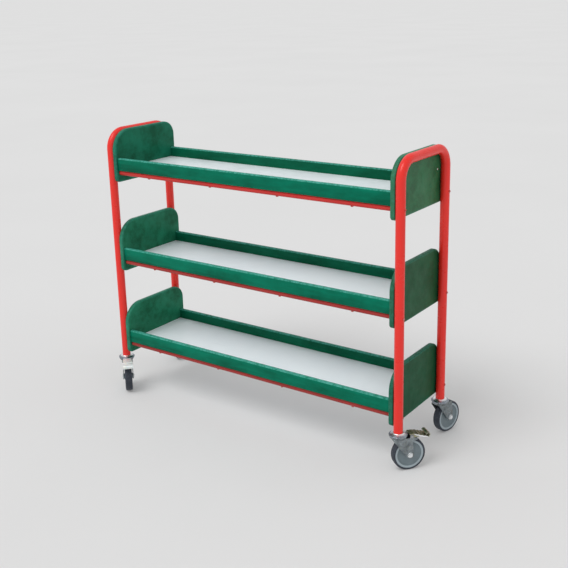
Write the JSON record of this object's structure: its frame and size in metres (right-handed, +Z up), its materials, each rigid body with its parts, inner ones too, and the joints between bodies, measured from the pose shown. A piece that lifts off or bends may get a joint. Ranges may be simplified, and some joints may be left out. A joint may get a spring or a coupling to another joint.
{
  "type": "book cart",
  "caption": "Long three-tray cart: bent red tube end frames carry green lipped trays on under-rails, rolling on swivel casters with front brakes.",
  "frame": {"origin": "on the floor, midway between the four uprights", "axes": "+X along the trays towards the right-hand end frame, -Y towards the front (the braked casters), +Z up"},
  "size_m": [1.2507, 0.4366, 0.942],
  "materials": {
    "red_paint": "gloss powder coat with small chips at the fixings",
    "green_paint": "satin enamel paint on plywood, edges slightly rubbed",
    "deck_laminate": "pale grey laminate, satin",
    "black_plastic": "moulded",
    "dowel_beech": "bare beech",
    "insert_brass": "machined",
    "zinc_fasteners": "bright zinc plate",
    "zinc_plate": "zinc plate, dulled and scuffed",
    "plain_steel": "machined",
    "wheel_plastic": "moulded grey polypropylene",
    "tyre_rubber": "dark blue-grey rubber, worn tread"
  },
  "bodies": {
    "cart": {"end_frame_left": "red_paint", "end_frame_right": "red_paint", "end_board_top_left": "green_paint", "end_board_top_right": "green_paint", "end_board_middle_left": "green_paint", "end_board_middle_right": "green_paint", "end_board_bottom_left": "green_paint", "end_board_bottom_right": "green_paint", "deck_top": "deck_laminate", "deck_middle": "deck_laminate", "deck_bottom": "deck_laminate", "lip_top_front": "green_paint", "lip_top_rear": "green_paint", "lip_middle_front": "green_paint", "lip_middle_rear": "green_paint", "lip_bottom_front": "green_paint", "lip_bottom_rear": "green_paint", "rail_top_front": "red_paint", "rail_top_rear": "red_paint", "rail_middle_front": "red_paint", "rail_middle_rear": "red_paint", "rail_bottom_front": "red_paint", "rail_bottom_rear": "red_paint", "rail_end_caps": "black_plastic", "rail_screws": "zinc_fasteners", "tray_dowels": "dowel_beech", "frame_bolts": "zinc_fasteners", "board_inserts": "insert_brass", "board_screws": "zinc_fasteners", "caster_sockets": "plain_steel", "kingpins": "zinc_plate", "swivel_raceways": "zinc_plate", "swivel_balls": "plain_steel"},
    "caster_front_left": {"fork_front_left": "zinc_plate", "axle_front_left": "plain_steel", "bush_front_left": "plain_steel", "brake_pin_front_left": "plain_steel"},
    "wheel_front_left": {"wheel_centre_front_left": "wheel_plastic", "tyre_front_left": "tyre_rubber"},
    "pedal_front_left": {"brake_pedal_front_left": "zinc_plate"},
    "caster_front_right": {"fork_front_right": "zinc_plate", "axle_front_right": "plain_steel", "bush_front_right": "plain_steel", "brake_pin_front_right": "plain_steel"},
    "wheel_front_right": {"wheel_centre_front_right": "wheel_plastic", "tyre_front_right": "tyre_rubber"},
    "pedal_front_right": {"brake_pedal_front_right": "zinc_plate"},
    "caster_rear_left": {"fork_rear_left": "zinc_plate", "axle_rear_left": "plain_steel", "bush_rear_left": "plain_steel"},
    "wheel_rear_left": {"wheel_centre_rear_left": "wheel_plastic", "tyre_rear_left": "tyre_rubber"},
    "caster_rear_right": {"fork_rear_right": "zinc_plate", "axle_rear_right": "plain_steel", "bush_rear_right": "plain_steel"},
    "wheel_rear_right": {"wheel_centre_rear_right": "wheel_plastic", "tyre_rear_right": "tyre_rubber"}
  },
  "joints": [
    {"name": "swivel_front_left", "type": "hinge", "parent": "cart", "child": "caster_front_left", "pos_m": [-0.556, -0.138, 0.11], "axis": [0, 0, 1], "continuous": true},
    {"name": "roll_front_left", "type": "hinge", "parent": "caster_front_left", "child": "wheel_front_left", "pos_m": [-0.5326, -0.15982, 0.051], "axis": [0.682, 0.7314, 0], "continuous": true},
    {"name": "brake_front_left", "type": "hinge", "parent": "caster_front_left", "child": "pedal_front_left", "pos_m": [-0.52894, -0.16323, 0.11], "axis": [0.682, 0.7314, 0], "range_deg": [0, 12]},
    {"name": "swivel_front_right", "type": "hinge", "parent": "cart", "child": "caster_front_right", "pos_m": [0.556, -0.138, 0.11], "axis": [0, 0, 1], "continuous": true},
    {"name": "roll_front_right", "type": "hinge", "parent": "caster_front_right", "child": "wheel_front_right", "pos_m": [0.57614, -0.11313, 0.051], "axis": [-0.7771, 0.6293, 0], "continuous": true},
    {"name": "brake_front_right", "type": "hinge", "parent": "caster_front_right", "child": "pedal_front_right", "pos_m": [0.57929, -0.10925, 0.11], "axis": [-0.7771, 0.6293, 0], "range_deg": [0, 12]},
    {"name": "swivel_rear_left", "type": "hinge", "parent": "cart", "child": "caster_rear_left", "pos_m": [-0.556, 0.138, 0.11], "axis": [0, 0, 1], "continuous": true},
    {"name": "roll_rear_left", "type": "hinge", "parent": "caster_rear_left", "child": "wheel_rear_left", "pos_m": [-0.57823, 0.16102, 0.051], "axis": [-0.7193, -0.6947, 0], "continuous": true},
    {"name": "swivel_rear_right", "type": "hinge", "parent": "cart", "child": "caster_rear_right", "pos_m": [0.556, 0.138, 0.11], "axis": [0, 0, 1], "continuous": true},
    {"name": "roll_rear_right", "type": "hinge", "parent": "caster_rear_right", "child": "wheel_rear_right", "pos_m": [0.56428, 0.16891, 0.051], "axis": [-0.9659, 0.2588, 0], "continuous": true}
  ]
}
